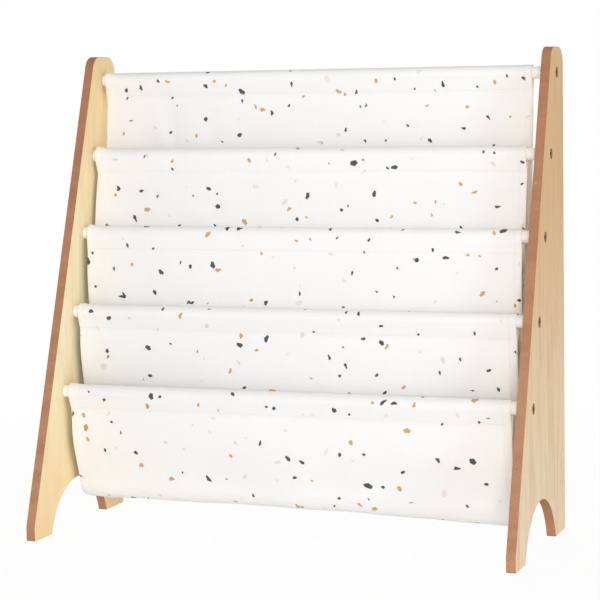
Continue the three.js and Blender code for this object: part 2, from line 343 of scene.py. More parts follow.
@dataclass(frozen=True)
class BoardFinish:
    """Fibreboard with a wood-grain face on both sides and bare, sealed brown edges, both painted lighter and
    darker by height as painted light and shade.
    """

    name: str
    # The two face colours and the two shares below paint light and shade by height: lightest at one height,
    # darker away from it.
    pale: Colour
    shaded_face: Colour
    vein: Colour
    lit_height_share: float
    shade_reach_share: float
    # The edge colour is painted lighter at the floor and darker at the top: painted light and shade.
    core_lit_low: Colour = painted(200, 148, 112)
    core_shaded_high: Colour = painted(180, 126, 92)
    core_dark: Colour = painted(150, 99, 70)
    core_fleck: Colour = painted(226, 172, 120)
    height: float = cad_bounds[1].z
    face_start: float = 0.8
    face_blur: float = 0.04
    fray: Mottle = Mottle(900.0)
    fray_reach: float = 0.25
    drift: Mottle = Mottle(14.0, (1.0, 1.0, 0.22), 1.0)
    drift_reach: float = 18 * MM
    broad: Mottle = Mottle(75.0, (6.0, 1.0, 0.045), 3.0, starts=0.42, ends=0.7, share=0.36)
    fine: Mottle = Mottle(560.0, (6.0, 1.0, 0.012), 3.0, 0.6, starts=0.45, ends=0.75, share=0.3)
    pores: Mottle = Mottle(1500.0, (6.0, 1.0, 0.03), 1.0, starts=0.62, ends=0.8, share=0.3)
    streaks: Mottle = Mottle(420.0, (6.0, 1.0, 0.05), 1.0, starts=0.66, ends=0.76, share=0.4)
    fibres: Mottle = Mottle(620.0, (1.0, 1.0, 1.6), 4.0, 0.7, starts=0.3, ends=0.75, share=0.5)
    bands: Mottle = Mottle(60.0, (0.2, 1.0, 1.0), starts=0.3, ends=0.7, share=0.3)
    flecks: Mottle = Mottle(420.0, (0.5, 1.0, 1.0), 2.0, 0.8, starts=0.66, ends=0.74, share=0.8)
    edge_roughness: float = 0.78
    face_smoother: float = 0.24
    fine_roughness: float = 0.08
    face_height: float = 0.5
    edge_height: float = 1.2
    relief: Relief = Relief(depth=0.05 * MM, strength=0.6)

    def material(self) -> bpy.types.Material:
        """Makes the board's material, which tells faces from edges by the surface's direction.

        Returns:
            The material.
        """
        s = Shading(bpy.data.materials.new(self.name))
        place = s.place()
        up_share = s.parts(place)[2] / self.height
        across = abs(s.parts(s.facing())[0]) + (self.fray.on(s, place) - 0.5) * self.fray_reach
        is_face = across.step(self.face_start - self.face_blur, self.face_start + self.face_blur)

        grain_place = s.moved(place, self.drift.on(s, place, "Color"), self.drift_reach)
        fine = self.fine.on(s, grain_place)
        # Painted light and shade by height: the face is lightest at one share of the board's height and
        # darker above and below it.
        face = s.blend(abs(up_share - self.lit_height_share).step(0.0, self.shade_reach_share), self.pale, self.shaded_face)
        face = s.blend(self.broad.over(s, grain_place) + self.fine.shown(fine), face, self.vein)
        face = s.blend(self.pores.over(s, place), face, self.vein)
        face = s.blend(self.streaks.over(s, grain_place), face, self.vein)

        fibres = self.fibres.on(s, place)
        # Painted light and shade: the edges are lighter near the floor and darker towards the top.
        core = s.blend(up_share, self.core_lit_low, self.core_shaded_high)
        core = s.blend(self.fibres.shown(fibres) + self.bands.over(s, place), core, self.core_dark)
        core = s.blend(self.flecks.over(s, place), core, self.core_fleck)

        height = fine * self.face_height * is_face + fibres * self.edge_height * (1 - is_face)
        return s.dress(
            Base_Color=s.blend(is_face, core, face),
            Roughness=self.edge_roughness - is_face * self.face_smoother + fine * self.fine_roughness,
            Normal=self.relief.of(s, height),
        )


@dataclass(frozen=True)
class LacquerFinish:
    """White lacquer on turned wood, with the wood's grain faint below it."""

    name: str = "white_rod_lacquer"
    colour: Colour = painted(252, 252, 253)
    shade: Colour = painted(246, 246, 245)
    grain: Mottle = Mottle(700.0, (0.03, 1.0, 1.0), 3.0, starts=0.4, ends=0.8, share=0.6)
    skin: Mottle = Mottle(260.0)
    roughness: float = 0.26
    skin_roughness: float = 0.14
    grain_height: float = 0.5
    coat: float = 0.25
    coat_roughness: float = 0.2
    relief: Relief = Relief(depth=0.04 * MM, strength=0.5)

    def material(self) -> bpy.types.Material:
        """Makes the lacquer's material.

        Returns:
            The material.
        """
        s = Shading(bpy.data.materials.new(self.name))
        grain, skin = (mottle.on(s, s.place()) for mottle in (self.grain, self.skin))
        return s.dress(
            Base_Color=s.blend(self.grain.shown(grain), self.colour, self.shade),
            Roughness=skin * self.skin_roughness + self.roughness,
            Coat_Weight=self.coat,
            Coat_Roughness=self.coat_roughness,
            Normal=self.relief.of(s, grain * self.grain_height + skin),
        )


@dataclass(frozen=True)
class MetalFinish:
    """Bare or blackened metal, with fine turning marks and duller patches."""

    name: str
    colour: Colour
    dull: Colour
    roughness: float
    marks: Mottle = Mottle(900.0, (9.0, 1.0, 1.0))
    patches: Mottle = Mottle(420.0, detail=3.0, starts=0.35, ends=0.7)
    metallic: float = 0.95
    less_metallic: float = 0.1
    rougher: float = 0.15
    relief: Relief = Relief(depth=0.02 * MM, strength=0.4)

    def material(self) -> bpy.types.Material:
        """Makes the metal's material.

        Returns:
            The material.
        """
        s = Shading(bpy.data.materials.new(self.name))
        marks, patches = (mottle.on(s, s.place()) for mottle in (self.marks, self.patches))
        return s.dress(
            Base_Color=s.blend(self.patches.shown(patches), self.colour, self.dull),
            Metallic=self.metallic - patches * self.less_metallic,
            Roughness=self.roughness + patches * self.rougher,
            Normal=self.relief.of(s, marks),
        )


@dataclass(frozen=True)
class ChipLayer:
    """One scattering of printed chips: at most one in each cell of a loose grid, each with its own sides."""

    cell: float
    share: float
    turn: float
    least: float = 2.25 * MM
    spread: float = 2.7 * MM
    slimness: float = 0.8
    disorder: float = 0.9
    ragged: Mottle = Mottle(520.0, detail=1.0)
    ragged_reach: float = 1.1 * MM
    nearest_side: float = 0.3
    side_spread: float = 0.75
    seeds: Tuple[float, float] = (1.0, 2.0)

    def on(self, s: Shading, cut: Socket) -> Tuple[Socket, Socket]:
        """Scatters the chips.

        Args:
            s: The material.
            cut: The place on the flat cloth.

        Returns:
            1 on a chip and 0 elsewhere, and a number that differs from chip to chip.
        """
        ragged = s.moved(cut, self.ragged.on(s, cut, "Color"), self.ragged_reach)
        where = s.vectors("MULTIPLY", s.turned(ragged, self.turn), (1 / self.cell, 1 / self.cell, 1.0))
        sockets = {"Vector": where, "Scale": 1.0, "Randomness": self.disorder}
        cells = s.node("ShaderNodeTexVoronoi", {"voronoi_dimensions": "2D"}, sockets)
        key, centre = (Socket(s, cells.outputs[name]) for name in ("Color", "Position"))
        picked, tint, size = s.parts(key)
        first, second, turn = s.random(key, self.seeds[0])
        offset = s.turned(s.vectors("SUBTRACT", where, centre), turn * TURN)
        offset = s.vectors("MULTIPLY", offset, (self.slimness, 1 / self.slimness, 1.0))
        draws = (first, second, *s.random(key, self.seeds[1]))
        sides = (
            s.along(offset, angle) / (draw * self.side_spread + self.nearest_side)
            for angle, draw in zip(bearings(len(draws)), draws)
        )
        radius = (size * size * self.spread + self.least) * (1 / self.cell)
        return (functools.reduce(Socket.larger, sides) < radius) * (picked < self.share), tint


@dataclass(frozen=True)
class ClothFinish:
    """Plain-woven cotton canvas, with charcoal, mustard, clay, stone and blush chips printed on its face."""

    name: str
    print_strength: float
    ground: Colour = painted(250, 249, 248)
    thread: Colour = painted(244, 242, 239)
    inks: Tuple[Tuple[float, Colour], ...] = (
        (0.0, painted(56, 53, 55)),
        (0.5, painted(214, 162, 88)),
        (0.69, painted(198, 150, 96)),
        (0.72, painted(230, 226, 220)),
        (0.87, painted(244, 229, 224)),
    )
    layers: Tuple[ChipLayer, ...] = (
        ChipLayer(cell=38 * MM, share=0.94, turn=0.4),
        ChipLayer(cell=50 * MM, share=0.85, turn=1.9, slimness=0.88),
    )
    weave_pitch: float = 0.75 * MM
    weave_shift: float = 2.0
    weft: Mottle = Mottle(1.0, (20.0, 900.0, 1.0))
    warp: Mottle = Mottle(1.0, (900.0, 20.0, 1.0))
    slub_starts: float = 0.4
    slub_ends: float = 0.75
    slub_share: float = 0.4
    slub_cover: float = 0.1
    cloud: Mottle = Mottle(16.0)
    cloud_share: float = 0.2
    roughness: float = 0.86
    slub_roughness: float = 0.1
    sheen: float = 0.08
    weave_height: float = 0.35
    relief: Relief = Relief(depth=0.12 * MM, strength=0.55)

    def material(self) -> bpy.types.Material:
        """Makes the cloth's material, on the flat cloth's own coordinates.

        Returns:
            The material.
        """
        s = Shading(bpy.data.materials.new(self.name))
        cut = s.cut()
        u, v, _ = s.parts(cut)
        pace = TURN / self.weave_pitch
        weft, warp, cloud = (mottle.on(s, cut) for mottle in (self.weft, self.warp, self.cloud))
        weave = (u * pace + weft * self.weave_shift).sine() * (v * pace + warp * self.weave_shift).sine()
        slubs = (weft + warp) * 0.5
        slubs_shown = slubs.step(self.slub_starts, self.slub_ends) * self.slub_share
        colour = s.blend(slubs_shown + cloud * self.cloud_share, self.ground, self.thread)
        cover = self.print_strength * (1 - self.slub_cover) + slubs * self.slub_cover
        for layer in self.layers:
            mask, tint = layer.on(s, cut)
            colour = s.blend(mask * cover, colour, s.choice(tint, self.inks))
        return s.dress(
            Base_Color=colour,
            Roughness=self.roughness + slubs * self.slub_roughness,
            Sheen_Weight=self.sheen,
            Normal=self.relief.of(s, weave * self.weave_height + slubs),
        )


@dataclass(frozen=True)
class ThreadFinish:
    """Twisted sewing thread."""

    name: str = "sewing_thread"
    colour: Colour = painted(244, 238, 229)
    shade: Colour = painted(226, 217, 204)
    twist_pitch: float = 0.9 * MM
    roughness: float = 0.7
    twist_roughness: float = 0.1
    relief: Relief = Relief(depth=0.08 * MM, strength=0.6)

    def material(self) -> bpy.types.Material:
        """Makes the thread's material.

        Returns:
            The material.
        """
        s = Shading(bpy.data.materials.new(self.name))
        x, y, z = s.parts(s.place())
        twist = ((x + y + z) * (TURN / self.twist_pitch)).sine() * 0.5 + 0.5
        return s.dress(
            Base_Color=s.blend(twist, self.shade, self.colour),
            Roughness=self.roughness + twist * self.twist_roughness,
            Normal=self.relief.of(s, twist),
        )


# Mesh making


def place_object(name: str, data: bpy.types.ID) -> bpy.types.Object:
    """Puts a mesh, a lamp or a camera in the scene.

    Args:
        name: The object's name.
        data: What it shows.

    Returns:
        The object.
    """
    made = bpy.data.objects.new(name, data)
    bpy.context.scene.collection.objects.link(made)
    return made


def make_piece(
    mesh: bpy.types.Mesh, materials: Sequence[bpy.types.Material], slot: str, *nodes: str
) -> bpy.types.Object:
    """Makes a piece of its mesh's name, which rides on the body.

    Args:
        mesh: The piece's mesh, in the part's frame.
        materials: Its materials, in the order of its slots.
        slot: The record's slot for its finish; not used.
        *nodes: The solids that it stands for.

    Returns:
        The piece.
    """
    piece = place_object(mesh.name, mesh)
    for material in materials:
        mesh.materials.append(material)
    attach(piece, BODY)
    if nodes:
        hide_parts(*nodes)
    return piece


def mesh_from(name: str, points: np.ndarray, faces: Sequence[Sequence[int]]) -> bpy.types.Mesh:
    """Makes a smooth-shaded mesh.

    Args:
        name: The mesh's name.
        points: Its corners, one in each row.
        faces: The corners of each face.

    Returns:
        The mesh.
    """
    mesh = bpy.data.meshes.new(name)
    mesh.from_pydata([tuple(p) for p in points.tolist()], [], [tuple(f) for f in faces])
    mesh.polygons.foreach_set("use_smooth", [True] * len(mesh.polygons))
    mesh.update()
    return mesh


def tube_faces(rings: int, count: int, first: int = 0) -> List[Tuple[int, ...]]:
    """Faces over closed rings of corners that follow each other, with a flat face at both ends.

    Args:
        rings: How many rings there are.
        count: How many corners each has.
        first: The number of the first corner.

    Returns:
        The faces.
    """
    faces = []
    for low in range(first, first + (rings - 1) * count, count):
        for i in range(count):
            j = (i + 1) % count
            faces.append((low + i, low + j, low + count + j, low + count + i))
    last = first + (rings - 1) * count
    faces.append(tuple(range(first + count - 1, first - 1, -1)))
    faces.append(tuple(range(last, last + count)))
    return faces


def arc(centre: Point, radius: float, start: float, sweep: float, steps: int) -> np.ndarray:
    """Points of an arc, with both ends, from its start angle through its sweep, in radians."""
    angles = start + sweep * np.linspace(0.0, 1.0, steps + 1)
    return np.array(centre) + radius * np.stack([np.cos(angles), np.sin(angles)], 1)


def rounding(radius: float, steps: int) -> List[Point]:
    """How far a quarter round lies from each of its two faces, from the one to the other."""
    angles = np.linspace(0.0, math.pi / 2, steps + 1)
    return [(radius * (1 - math.cos(angle)), radius * (1 - math.sin(angle))) for angle in angles]


def course(line: np.ndarray) -> np.ndarray:
    """How far along a line each of its points is."""
    return np.concatenate([[0.0], np.cumsum(np.linalg.norm(np.diff(line, axis=0), axis=1))])


def read_along(line: np.ndarray, values: np.ndarray, wanted: np.ndarray) -> np.ndarray:
    """Values that are known at a line's points, one row for each, read at wanted lengths along it."""
    along = course(line)
    return np.stack([np.interp(wanted, along, values[:, k]) for k in range(values.shape[1])], 1)


def in_equal_steps(line: np.ndarray, count: int) -> np.ndarray:
    """A line's points divided again into equal steps, with both ends kept."""
    return read_along(line, line, np.linspace(0.0, course(line)[-1], count))


def between(t: np.ndarray, first: float, last: float, one: np.ndarray, other: np.ndarray) -> np.ndarray:
    """Values at the times t on the way from one, at the first time, to another, at the last."""
    return ((last - t) * one + (t - first) * other) / (last - first)


def smooth_curve(points: Sequence[Point], count: int, samples: int = 24) -> np.ndarray:
    """A smooth curve through points, in equal steps.

    Args:
        points: The points that it passes.
        count: How many points it is made of.
        samples: How many points are worked out between two of those that it passes.

    Returns:
        The curve's points, one in each row.
    """
    knots = np.array(points, float)
    knots = np.vstack([2 * knots[0] - knots[1], knots, 2 * knots[-1] - knots[-2]])
    times = np.concatenate([[0.0], np.cumsum(np.sqrt(np.linalg.norm(np.diff(knots, axis=0), axis=1)))])
    rounds = (((0, 1), (1, 2), (2, 3)), ((0, 2), (1, 3)), ((1, 2),))
    dense = []
    for k in range(1, len(knots) - 2):
        t = np.linspace(times[k], times[k + 1], samples, endpoint=k == len(knots) - 3)[:, None]
        row, clock = list(knots[k - 1:k + 3]), times[k - 1:k + 3]
        for spans in rounds:
            row = [
                between(t, clock[first], clock[last], row[i], row[i + 1])
                for i, (first, last) in enumerate(spans)
            ]
        dense.append(row[0])
    return in_equal_steps(np.vstack(dense), count)


# Side boards


class Side(Enum):
    """The two ends of the shelf."""

    LEFT = -1
    RIGHT = 1

    @property
    def word(self) -> str:
        """The side's name in a piece's name."""
        return self.name.lower()

    def outer_first(self, low: Vector, high: Vector) -> Point:
        """The outer end of a box at this side along X, and its inner end."""
        return (high.x, low.x) if self is Side.RIGHT else (low.x, high.x)


@dataclass
class Rod:
    """The place of one rod, read from the frame."""

    number: int
    axis: Point = field(init=False)
    radius: float = field(init=False)
    reach: float = field(init=False)

    def __post_init__(self) -> None:
        """Reads the rod's place and size from its solid."""
        low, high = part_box(f"rod_{self.number}")
        self.axis = ((low.y + high.y) / 2, (low.z + high.z) / 2)
        self.radius = (high.z - low.z) / 2
        self.reach = high.x


class RingMesh:
    """A mesh in the making, of rings of corners that each lie at one place across the width."""

    def __init__(self) -> None:
        """Starts without a corner."""
        self.mesh = bmesh.new()

    def ring(self, points: np.ndarray, x: float) -> Ring:
        """Adds a ring of corners, each with its Y and Z."""
        return [self.mesh.verts.new((x, y, z)) for y, z in points]

    def skin(self, rings: Sequence[Ring]) -> None:
        """Joins rings that follow each other.

        Args:
            rings: The rings, each with as many corners.
        """
        for one, other in zip(rings, rings[1:]):
            for i in range(len(one)):
                j = (i + 1) % len(one)
                self.mesh.faces.new((one[i], one[j], other[j], other[i]))

    def cap(self, rings: Sequence[Ring]) -> None:
        """Fills a flat face, with sharp edges.

        Args:
            rings: The ring round it, and the rings of its holes.
        """
        edges = []
        for ring in rings:
            for one, other in zip(ring, ring[1:] + ring[:1]):
                edges.append(self.mesh.edges.get((one, other)) or self.mesh.edges.new((one, other)))
        bmesh.ops.triangle_fill(self.mesh, use_beauty=True, use_dissolve=False, edges=edges)
        for edge in edges:
            edge.smooth = False

    def finished(self, name: str, sharp: float) -> bpy.types.Mesh:
        """Turns the faces out and hands the mesh over.

        Args:
            name: The mesh's name.
            sharp: Edges bent by more degrees than this stay sharp.

        Returns:
            The mesh.
        """
        bmesh.ops.recalc_face_normals(self.mesh, faces=self.mesh.faces[:])
        for face in self.mesh.faces:
            face.smooth = True
        for edge in self.mesh.edges:
            if len(edge.link_faces) == 2 and edge.calc_face_angle(0.0) > math.radians(sharp):
                edge.smooth = False
        mesh = bpy.data.meshes.new(name)
        self.mesh.to_mesh(mesh)
        self.mesh.free()
        return mesh


@dataclass
class SideBoard:
    """One side board: a leaning trapezium with an arch between its feet and five sunk bolt holes."""

    side: Side
    rods: Sequence[Rod]
    finish: BoardFinish
    top_depth: float = 62 * MM
    toe_height: float = 18 * MM
    toe_round: float = 3 * MM
    top_front_round: float = 20 * MM
    top_back_round: float = 21 * MM
    arch_width: float = 160 * MM
    arch_rise: float = 60 * MM
    back_foot: float = 53 * MM
    arris: float = 1 * MM
    hole_radius: float = 3.3 * MM
    sink_radius: float = 6.5 * MM
    sink_depth: float = 7 * MM
    rim: float = 0.25 * MM
    round_steps: int = 14
    arch_steps: int = 48
    hole_steps: int = 40
    arris_steps: int = 4
    straight_step: float = 30 * MM
    corner_lead: float = 1.2 * MM
    leads_room: float = 3.6 * MM
    mitre_limit: float = 0.3
    sharp: float = 32.0

    def __post_init__(self) -> None:
        """Reads the board's box from its solid."""
        self.node = f"{self.side.word}_side_panel"
        self.low, self.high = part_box(self.node)
        self.outer, self.inner = self.side.outer_first(self.low, self.high)
        self.inward = -self.side.value

    def rounded(self, corner: Point, before: Point, after: Point, radius: float) -> np.ndarray:
        """Rounds a corner between two straight edges.

        Args:
            corner: The sharp corner.
            before: A point on the edge that comes before it.
            after: A point on the edge that comes after it.
            radius: The radius of the round.

        Returns:
            The points of the round.
        """
        at = np.array(corner)
        to_before, to_after = np.array(before) - at, np.array(after) - at
        to_before /= np.linalg.norm(to_before)
        to_after /= np.linalg.norm(to_after)
        half = math.acos(float(to_before @ to_after)) / 2
        middle = to_before + to_after
        centre = at + middle / np.linalg.norm(middle) * radius / math.sin(half)
        start = at + to_before * radius / math.tan(half) - centre
        end = at + to_after * radius / math.tan(half) - centre
        first = math.atan2(start[1], start[0])
        sweep = (math.atan2(end[1], end[0]) - first + math.pi) % TURN - math.pi
        return arc(tuple(centre), radius, first, sweep, self.round_steps)

    def arch(self) -> np.ndarray:
        """The arch between the feet, from the front foot to the back one: part of a circle.

        Returns:
            Its points.
        """
        half = self.arch_width / 2
        radius = (half**2 + self.arch_rise**2) / (2 * self.arch_rise)
        centre = (self.high.y - self.back_foot - half, self.arch_rise - radius)
        reach = math.asin(half / radius)
        return arc(centre, radius, math.pi / 2 + reach, -2 * reach, self.arch_steps)

    def outline(self) -> np.ndarray:
        """The board's outline, anticlockwise from the back foot, with leads beside its corners.

        Returns:
            The Y and Z of its points, one in each row.
        """
        front, back, height = self.low.y, self.high.y, self.high.z
        back_top, front_top = (back, height), (back - self.top_depth, height)
        toe_top = (front, self.toe_height)
        arch = self.arch()
        corners = np.vstack(
            [
                [(back, 0.0)],
                self.rounded(back_top, (back, 0.0), front_top, self.top_back_round),
                self.rounded(front_top, back_top, toe_top, self.top_front_round),
                [toe_top],
                self.rounded((front, 0.0), toe_top, tuple(arch[0]), self.toe_round),
                arch,
            ]
        )
        points = []
        for start, end in zip(corners, np.roll(corners, -1, axis=0)):
            length = float(np.linalg.norm(end - start))
            points.append(start)
            if length > self.leads_room:
                lead = self.corner_lead / length
                inner = max(1, round(length / self.straight_step))
                shares = lead + (1 - 2 * lead) * np.linspace(0.0, 1.0, inner + 1)
                points.extend(start + (end - start) * share for share in shares)
        return np.array(points)

    def drawn_in(self, outline: np.ndarray, by: float) -> np.ndarray:
        """Draws an anticlockwise outline in.

        Args:
            outline: The outline's points.
            by: How far its edges move.

        Returns:
            The new outline, with as many points.
        """
        ahead = np.roll(outline, -1, axis=0) - outline
        ahead /= np.linalg.norm(ahead, axis=1)[:, None]
        both = ahead + np.roll(ahead, 1, axis=0)
        inward = np.stack([-both[:, 1], both[:, 0]], 1)
        inward /= np.linalg.norm(inward, axis=1)[:, None]
        square = np.stack([-ahead[:, 1], ahead[:, 0]], 1)
        return outline + inward * (by / np.maximum(self.mitre_limit, (inward * square).sum(1)))[:, None]

    def face_rings(self, solid: RingMesh, outline: np.ndarray, face: float, way: int) -> List[Ring]:
        """Adds the rings of one face's arris.

        Args:
            solid: The mesh in the making.
            outline: The board's outline.
            face: Where the face is along X.
            way: The way from it into the board.

        Returns:
            The rings, from the face in.
        """
        rings = []
        for sunk, drawn in rounding(self.arris, self.arris_steps):
            rings.append(solid.ring(self.drawn_in(outline, drawn), face + way * sunk))
        rings.append(solid.ring(outline, face + way * 2 * self.arris))
        return rings

    def hole(self, solid: RingMesh, rod: Rod) -> List[Ring]:
        """Adds one bolt hole with the sink for the bolt's head.

        Args:
            solid: The mesh in the making.
            rod: The rod that the bolt holds.

        Returns:
            The hole's rings, from the outer face in.
        """
        floor = self.outer + self.inward * self.sink_depth
        steps = (
            (self.sink_radius + self.rim, self.outer),
            (self.sink_radius, self.outer + self.inward * self.rim),
            (self.sink_radius, floor),
            (self.hole_radius, floor),
            (self.hole_radius, self.inner - self.inward * self.rim),
            (self.hole_radius + self.rim, self.inner),
        )
        rings = [solid.ring(arc(rod.axis, r, 0.0, TURN, self.hole_steps)[:-1], x) for r, x in steps]
        solid.skin(rings)
        return rings

    def build(self) -> bpy.types.Object:
        """Makes the board.

        Returns:
            The finished piece.
        """
        solid = RingMesh()
        outline = self.outline()
        outer_rings = self.face_rings(solid, outline, self.outer, self.inward)
        inner_rings = self.face_rings(solid, outline, self.inner, -self.inward)
        solid.skin(outer_rings + inner_rings[::-1])
        holes = [self.hole(solid, rod) for rod in self.rods]
        solid.cap([outer_rings[0], *(hole[0] for hole in holes)])
        solid.cap([inner_rings[0], *(hole[-1] for hole in holes)])
        mesh = solid.finished(f"{self.side.word}_side_board", self.sharp)
        return make_piece(mesh, [self.finish.material()], "board", self.node)


# Rods and bolts


@dataclass
class TurnedPart:
    """A part turned about an axis along X: rings of corners, each with a radius for every angle."""

    name: str
    centre: Point
    sides: int
    sharp: float
    rings: List[Tuple[float, Callable[[float], float]]] = field(default_factory=list)

    def ring(self, x: float, radius: Union[float, Callable[[float], float]]) -> None:
        """Adds a ring at a place along X, with its radius or a function that gives it for an angle."""
        self.rings.append((x, radius if callable(radius) else lambda angle: radius))

    def piece(self, material: bpy.types.Material, slot: str, node: str) -> bpy.types.Object:
        """Makes the turned mesh, closed at both ends.

        Args:
            material: Its material.
            slot: The record's slot for its finish, handed on to make_piece, which does not use it.
            node: The solid that it stands for.

        Returns:
            The piece.
        """
        points = []
        for x, radius in self.rings:
            for angle in bearings(self.sides):
                r = radius(angle)
                points.append((x, self.centre[0] + r * math.cos(angle), self.centre[1] + r * math.sin(angle)))
        mesh = mesh_from(self.name, np.array(points), tube_faces(len(self.rings), self.sides))
        if self.rings[-1][0] < self.rings[0][0]:
            mesh.flip_normals()
        mesh.set_sharp_from_angle(angle=math.radians(self.sharp))
        return make_piece(mesh, [material], slot, node)


@dataclass
class LacqueredRod:
    """One rod, with a blind hole for an insert in each end."""

    rod: Rod
    material: bpy.types.Material
    arris: float = 0.8 * MM
    bore: float = 5.1 * MM
    bore_depth: float = 28 * MM
    arris_steps: int = 4
    sides: int = 48
    sharp: float = 35.0

    def build(self) -> bpy.types.Object:
        """Makes the rod.

        Returns:
            The finished piece.
        """
        turned = TurnedPart(f"lacquered_rod_{self.rod.number}", self.rod.axis, self.sides, self.sharp)
        end = [(self.bore_depth, self.bore), (0.0, self.bore)]
        end += [(sunk, self.rod.radius - drawn) for sunk, drawn in rounding(self.arris, self.arris_steps)]
        end.append((2 * self.arris, self.rod.radius))
        for inset, radius in end:
            turned.ring(inset - self.rod.reach, radius)
        for inset, radius in reversed(end):
            turned.ring(self.rod.reach - inset, radius)
        return turned.piece(self.material, "rod_lacquer", f"rod_{self.rod.number}")


@dataclass
class SocketBolt:
    """One bolt with a hexagon socket, its head sunk in a side board."""

    side: Side
    rod: Rod
    material: bpy.types.Material
    shank: float = 3 * MM
    head: float = 5 * MM
    head_height: float = 6 * MM
    crown: float = 0.9 * MM
    crown_steps: int = 3
    socket: float = 5 * MM
    socket_depth: float = 3 * MM
    socket_rim: float = 0.25 * MM
    tip_chamfer: float = 0.8 * MM
    thread_pitch: float = 1.0 * MM
    thread_depth: float = 0.35 * MM
    threaded_share: float = 0.8
    sides: int = 36
    sharp: float = 30.0

    def hexagon(self, angle: float) -> float:
        """The socket's radius at an angle, in radians."""
        sector = math.pi / 3
        return self.socket / 2 / math.cos(angle % sector - sector / 2)

    def build(self) -> bpy.types.Object:
        """Makes the bolt, from its tip to the bottom of its socket.

        Returns:
            The finished piece.
        """
        node = f"{self.side.word}_bolt_{self.rod.number}"
        way = self.side.value
        top, tip = self.side.outer_first(*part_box(node))
        seat = top - way * self.head_height
        turned = TurnedPart(f"socket_{node}", self.rod.axis, self.sides, self.sharp)
        turned.ring(tip, self.shank - self.tip_chamfer)
        for k in range(int(abs(seat - tip) * self.threaded_share / self.thread_pitch)):
            root = tip + way * (self.tip_chamfer + k * self.thread_pitch)
            turned.ring(root, self.shank - self.thread_depth)
            turned.ring(root + way * self.thread_pitch / 2, self.shank)
        turned.ring(seat - way * self.thread_pitch, self.shank)
        turned.ring(seat, self.shank)
        turned.ring(seat, self.head)
        for inset, sunk in rounding(self.crown, self.crown_steps):
            turned.ring(top - way * sunk, self.head - inset)
        turned.ring(top, lambda angle: self.hexagon(angle) + self.socket_rim)
        turned.ring(top - way * self.socket_rim, self.hexagon)
        turned.ring(top - way * self.socket_depth, self.hexagon)
        return turned.piece(self.material, "bolt_steel", node)


# Sling


@dataclass(frozen=True)
class Sewing:
    """A line of stitches, each a short tube with its share of the length, width and lift at each ring."""

    length: float = 2.9 * MM
    gap: float = 1.0 * MM
    radius: float = 0.26 * MM
    sides: int = 5
    ring_shares: Tuple[Triple, ...] = (
        (0.0, 0.25, -0.6),
        (0.16, 0.85, 0.15),
        (0.5, 1.0, 0.45),
        (0.84, 0.85, 0.15),
        (1.0, 0.25, -0.6),
    )

    def stitches(self, line: np.ndarray, out: np.ndarray) -> Tuple[List[np.ndarray], List[Tuple[int, ...]]]:
        """Makes the stitches.

        Args:
            line: Points on the cloth's surface, one in each row.
            out: The way out of the cloth at each point.

        Returns:
            The corners and the faces of all the stitches.
        """
        pitch = self.length + self.gap
        along_shares = np.array([share for share, _, _ in self.ring_shares])
        points, faces = [], []
        for start in np.arange(pitch / 2, course(line)[-1] - pitch, pitch):
            faces.extend(tube_faces(len(self.ring_shares), self.sides, len(points)))
            where = start + along_shares * self.length
            centres, normals = read_along(line, line, where), read_along(line, out, where)
            heading = centres[-1] - centres[0]
            heading /= np.linalg.norm(heading)
            for (_, width, lift), centre, normal in zip(self.ring_shares, centres, normals):
                beside = np.cross(heading, normal)
                for angle in bearings(self.sides):
                    offset = beside * math.cos(angle) + normal * math.sin(angle)
                    points.append(centre + normal * lift * self.radius + offset * width * self.radius)
        return points, faces


